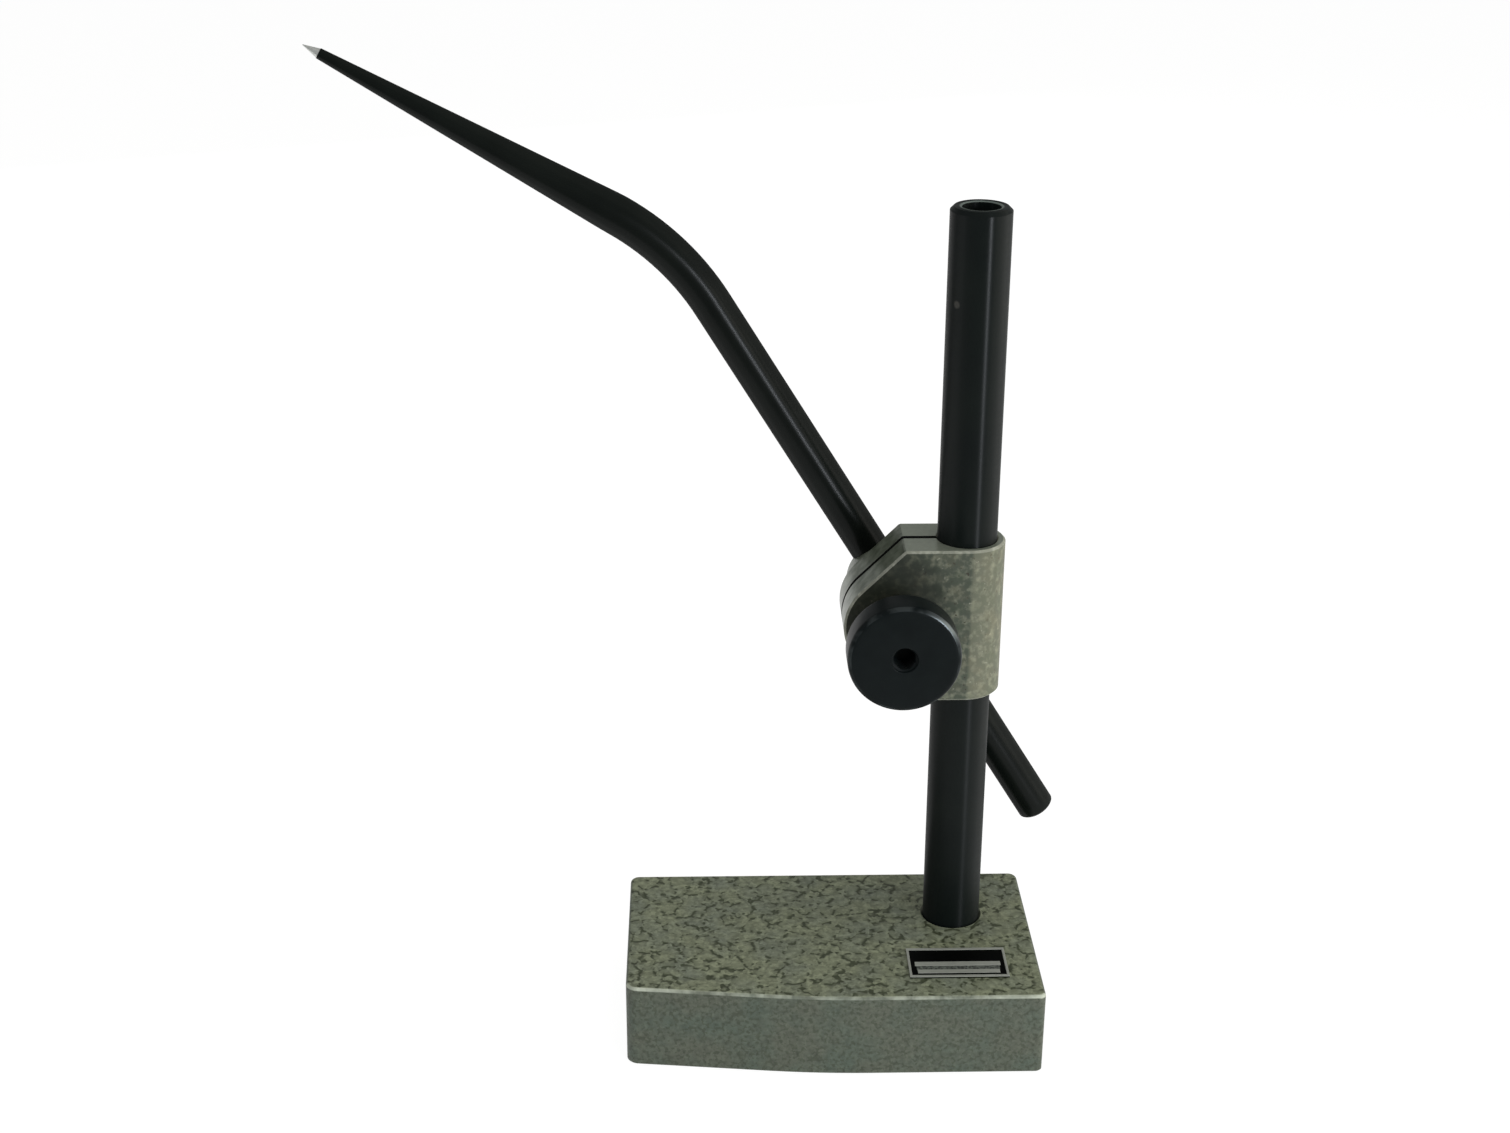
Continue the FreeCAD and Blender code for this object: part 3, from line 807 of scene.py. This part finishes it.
knob_radius = (knob_high.x - knob_low.x) / 2
knob_length = knob_high.y - knob_low.y
thread_start = knob_length - mouth_depth
corners = [
    (0, knob_hole_radius, 0),
    (0, hub_radius, hub_rear_ease),
    (hub_length, hub_radius, hub_fillet),
    (hub_length, knob_radius, rear_rim_ease),
    (knob_length, knob_radius, front_rim_ease),
    (knob_length, knob_hole_radius + mouth_flare, mouth_ease),
]
for step in range(thread_steps + 1):
    corners.append((thread_start - thread_length * step / thread_steps, knob_hole_radius, 0))
knob_rear = Vector((knob_centre.x, knob_high.y, knob_centre.z))
points, faces = turned(eased(corners), knob_rear, -rearward, knob_segments)

# The points on the hole's wall are moved in to the crests of a coarse pitch thread.
thread_mouth = knob_low.y + mouth_depth
for i, point in enumerate(points):
    out = Vector((point.x - knob_centre.x, 0, point.z - knob_centre.z))
    depth = point.y - thread_mouth
    if out.length < knob_hole_radius + wall_margin and 0 < depth < thread_length - thread_end:
        turns = depth / thread_pitch - atan2(out.z, out.x) / (2 * pi)
        ridge = 1 - abs(2 * (turns % 1) - 1)
        radius = knob_hole_radius + (thread_crest - knob_hole_radius) * ridge
        points[i] = point + out * (radius / out.length - 1)
knob_turned = piece("knob_turned", "knob", points, faces, black_knob, smooth=True)
knob_turned.data.set_sharp_from_angle(angle=sharp_angle)
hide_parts("knob")

# Table: a plain white painted board under the gauge, and a plain pale room round both. The
# board keeps the gauge's soft shadow, and it shows white to the camera and in the black steel.
half_width = 3.0
front_edge = -0.35
glow_share = 0.8

# White matt paint over a board, lit a little from itself so that it meets the white room.
board, tree = new_finish("white_board")
path = add(tree, "LightPath")
seen = add(
    tree,
    "Math",
    {0: path.outputs["Is Camera Ray"], 1: path.outputs["Is Glossy Ray"]},
    operation="MAXIMUM",
)
seen = add(tree, "Math", {0: seen, 1: path.outputs["Is Transmission Ray"]}, operation="MAXIMUM")
share = add(tree, "Math", {0: seen, 1: glow_share}, operation="MULTIPLY")
matt = add(tree, "BsdfDiffuse", {"Color": "#f6f6f5"})
glow = add(tree, "Emission", {"Color": "#ffffff", "Strength": 1.15})
surface = add(tree, "MixShader", {0: share, 1: matt, 2: glow})
add(tree, "OutputMaterial", {"Surface": surface})
table_corners = [
    (-half_width, front_edge, 0),
    (half_width, front_edge, 0),
    (half_width, half_width, 0),
    (-half_width, half_width, 0),
]
table_mesh = bpy.data.meshes.new("table_top")
table_mesh.from_pydata(table_corners, [], [(0, 1, 2, 3)])
table_mesh.materials.append(board)
table_top = bpy.data.objects.new("table_top", table_mesh)
bpy.context.scene.collection.objects.link(table_top)

# The room is white where the camera sees it. It lights the gauge, and shows in the black steel,
# only dimly, as a real room does.
seen_strength = 1.02
room_strength = 0.32
world = bpy.data.worlds.new("pale_room")
bpy.context.scene.world = world
world.use_nodes = True
tree = world.node_tree
tree.nodes.clear()
path = add(tree, "LightPath")
strength = add(
    tree,
    "MapRange",
    {"Value": path.outputs["Is Camera Ray"], "To Min": room_strength, "To Max": seen_strength},
)
room = add(tree, "Background", {"Color": "#fbfcfd", "Strength": strength})
add(tree, "OutputWorld", {"Surface": room})

# Lamps: soft panels that face the gauge. The right and top ones light it, the front and rear
# ones fill its shadows unseen, and the narrow left and line panels draw the pale lines along
# the black tube and rod.
middle = (cad_box[0] + cad_box[1]) / 2
lamp_distance = 1.3
# Name, azimuth (0 is the front, 90 the right), elevation, width, height, watts, colour, and
# whether the panel shows in the steel.
panels = (
    ("right_panel", 82, 12, 1.6, 0.6, 7.5, "#fdf9ee", True),
    ("front_panel", 22, 6, 0.5, 0.5, 0.3, "#f6f9ff", False),
    ("top_panel", 20, 80, 1.0, 1.0, 5.8, "#fffbf2", False),
    ("rear_panel", -160, 15, 1.6, 0.9, 2.6, "#ffffff", False),
    ("left_panel", -68, 22, 0.15, 0.3, 0.7, "#f2f7ff", True),
    ("line_panel", 34, 4, 0.1, 0.6, 7.0, "#f2f7ff", True),
)
for name, azimuth, elevation, width, height, watts, colour, mirrored in panels:
    light = bpy.data.lights.new(name, "AREA")
    light.shape = "RECTANGLE"
    light.size = width
    light.size_y = height
    light.energy = watts
    light.color = linear(colour)[:3]
    panel = bpy.data.objects.new(name, light)
    bpy.context.scene.collection.objects.link(panel)
    a, e = radians(azimuth), radians(elevation)
    out = Vector((sin(a) * cos(e), -cos(a) * cos(e), sin(e)))
    panel.location = middle + out * lamp_distance
    panel.rotation_euler = (-out).to_track_quat("-Z", "Y").to_euler()
    panel.visible_camera = False
    panel.visible_glossy = mirrored

# Camera: a short way above the gauge, looking down at its front. Its place, angles and focal
# length were fitted to the photograph.
picture_width = 1510
focal_pixels = 2223.888
sensor_width = 36.0
pitch, yaw, roll = radians(23.111), radians(1.5388), radians(0.2409)
camera_place = Vector((-42.814, -638.534, 436.210)) * MM
camera_data = bpy.data.cameras.new("camera")
camera_data.sensor_fit = "HORIZONTAL"
camera_data.sensor_width = sensor_width
camera_data.lens = sensor_width * focal_pixels / picture_width
camera_data.clip_start = 0.01
camera = bpy.data.objects.new("camera", camera_data)
bpy.context.scene.collection.objects.link(camera)
forward = Vector((sin(yaw) * cos(pitch), cos(yaw) * cos(pitch), -sin(pitch)))
level_right = Vector((cos(yaw), -sin(yaw), 0))
level_up = level_right.cross(forward)
right = level_right * cos(roll) + level_up * sin(roll)
up = level_up * cos(roll) - level_right * sin(roll)
turn = Matrix((right, up, -forward)).transposed().to_4x4()
camera.matrix_world = Matrix.Translation(camera_place) @ turn
bpy.context.scene.camera = camera
bpy.context.scene.view_settings.view_transform = "Standard"
